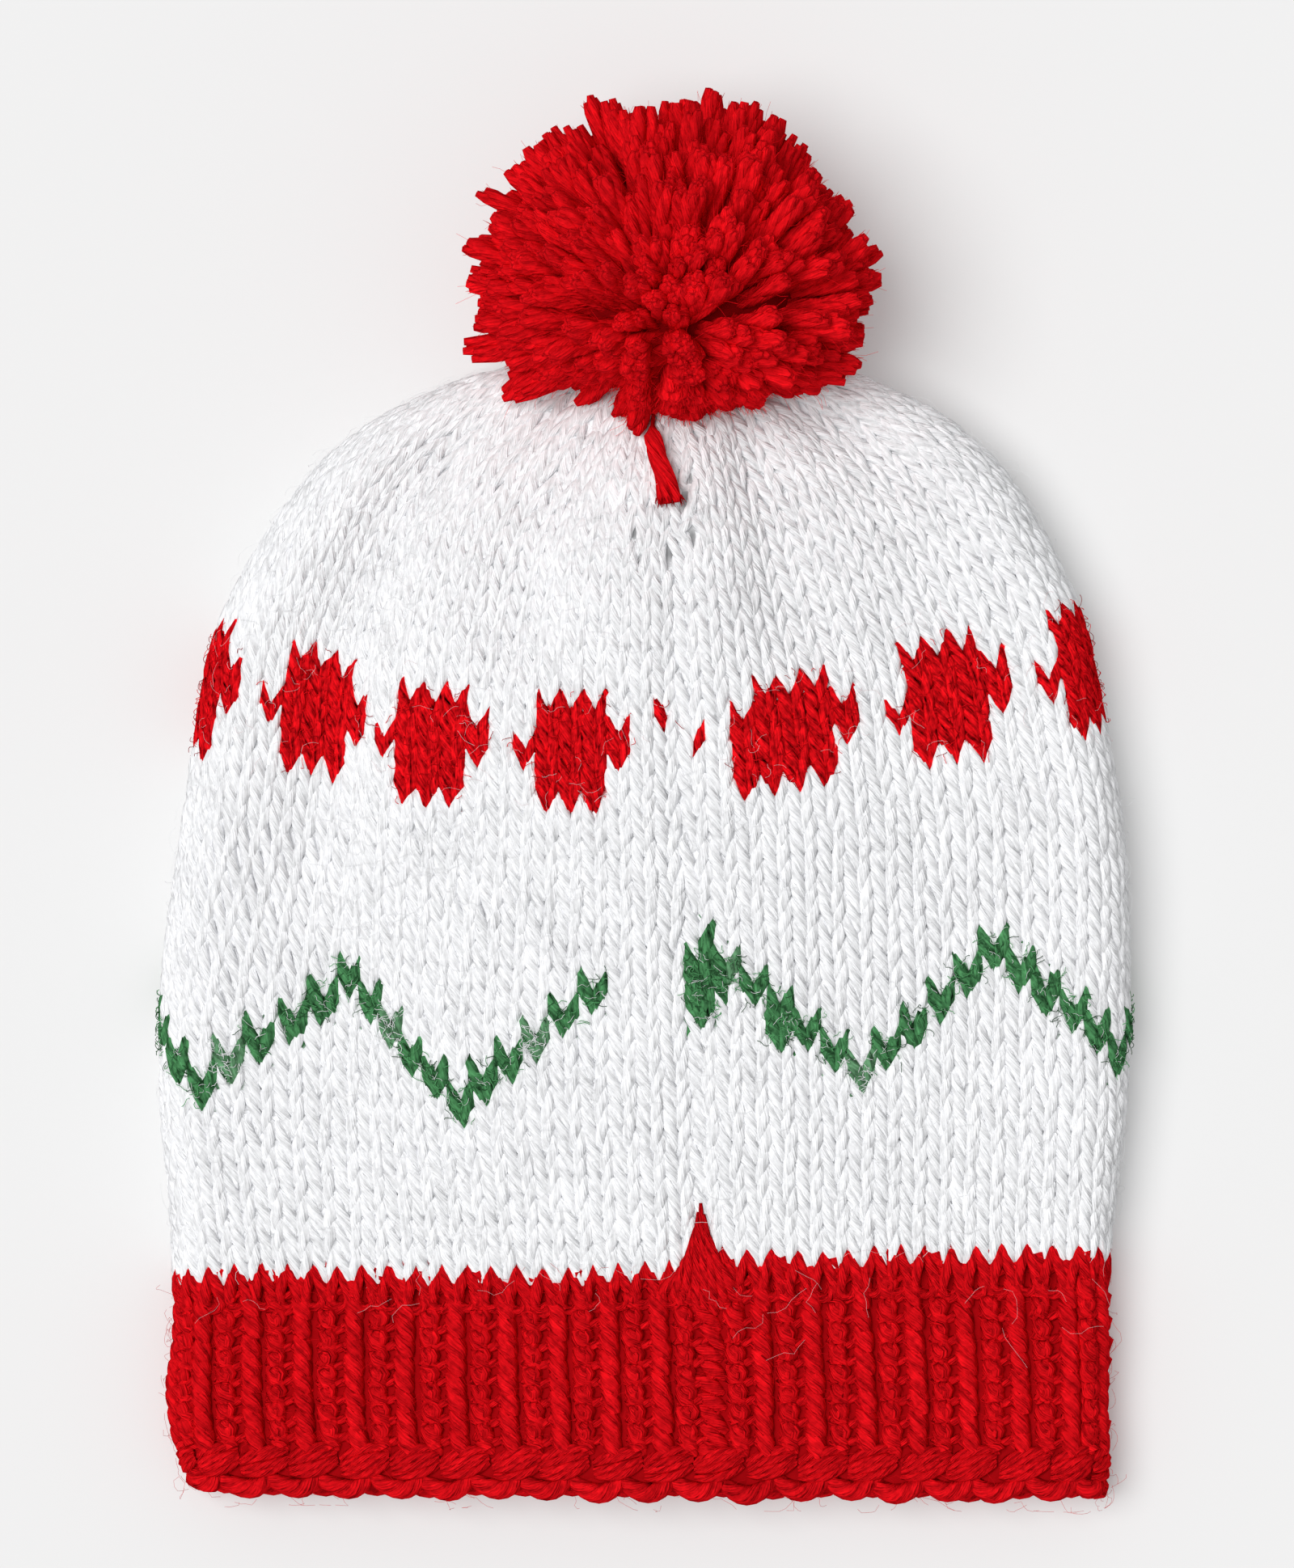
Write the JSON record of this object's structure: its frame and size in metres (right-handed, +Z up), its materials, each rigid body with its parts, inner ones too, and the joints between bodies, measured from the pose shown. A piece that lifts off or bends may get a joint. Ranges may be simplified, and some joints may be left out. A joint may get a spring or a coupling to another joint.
{
  "type": "knit cap",
  "caption": "Child's knitted cap with a ribbed band, a dot and zigzag pattern and a yarn pompom, lying flat with its back seam up.",
  "frame": {"origin": "middle of the underside, on the surface that the cap lies on", "axes": "+Z up from the surface, +Y from the opening to the pompom, +X to the right with the back seam up"},
  "size_m": [0.1824, 0.2654, 0.0638],
  "materials": {
    "body_yarn": "white knitted yarn with red and green patterning",
    "band_yarn": "red ribbed knitting",
    "pompom_yarn": "red cut yarn"
  },
  "bodies": {
    "root": {"knit_body": "body_yarn", "ribbed_band": "band_yarn", "pompom": "pompom_yarn", "tie_end": "pompom_yarn"}
  },
  "joints": []
}
